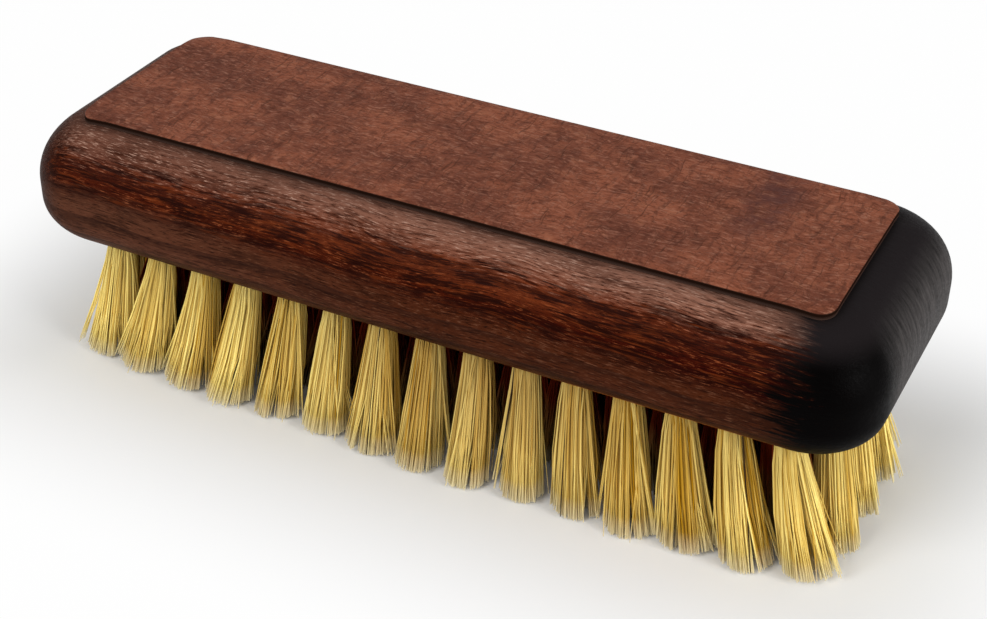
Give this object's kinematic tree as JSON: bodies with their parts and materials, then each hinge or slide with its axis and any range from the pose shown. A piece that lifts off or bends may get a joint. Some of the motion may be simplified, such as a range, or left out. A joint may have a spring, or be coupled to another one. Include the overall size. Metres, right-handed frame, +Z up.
{
  "type": "leather cleaning brush",
  "caption": "Hand brush with a rounded dark-stained wooden stock, a leather panel glued on its flat top and rows of pale natural bristle tufts below.",
  "frame": {"origin": "under the middle of the brush, on the plane of the trimmed bristle tips that it stands on", "axes": "+X along the length of the stock, +Y across it, +Z up from the bristle tips to the leather panel"},
  "size_m": [0.15, 0.0524, 0.0468],
  "materials": {
    "stained_wood": "satin",
    "leather": "satin",
    "glue": "satin",
    "steel_wire": "satin",
    "bristle": "satin"
  },
  "bodies": {
    "root": {"brush_block": "stained_wood", "adhesive_film": "glue", "leather_panel": "leather", "draw_wire_1": "steel_wire", "draw_wire_2": "steel_wire", "draw_wire_3": "steel_wire", "draw_wire_4": "steel_wire", "draw_wire_5": "steel_wire", "bristle_bank_front": "bristle", "bristle_bank_middle": "bristle", "bristle_bank_back": "bristle"}
  },
  "joints": []
}
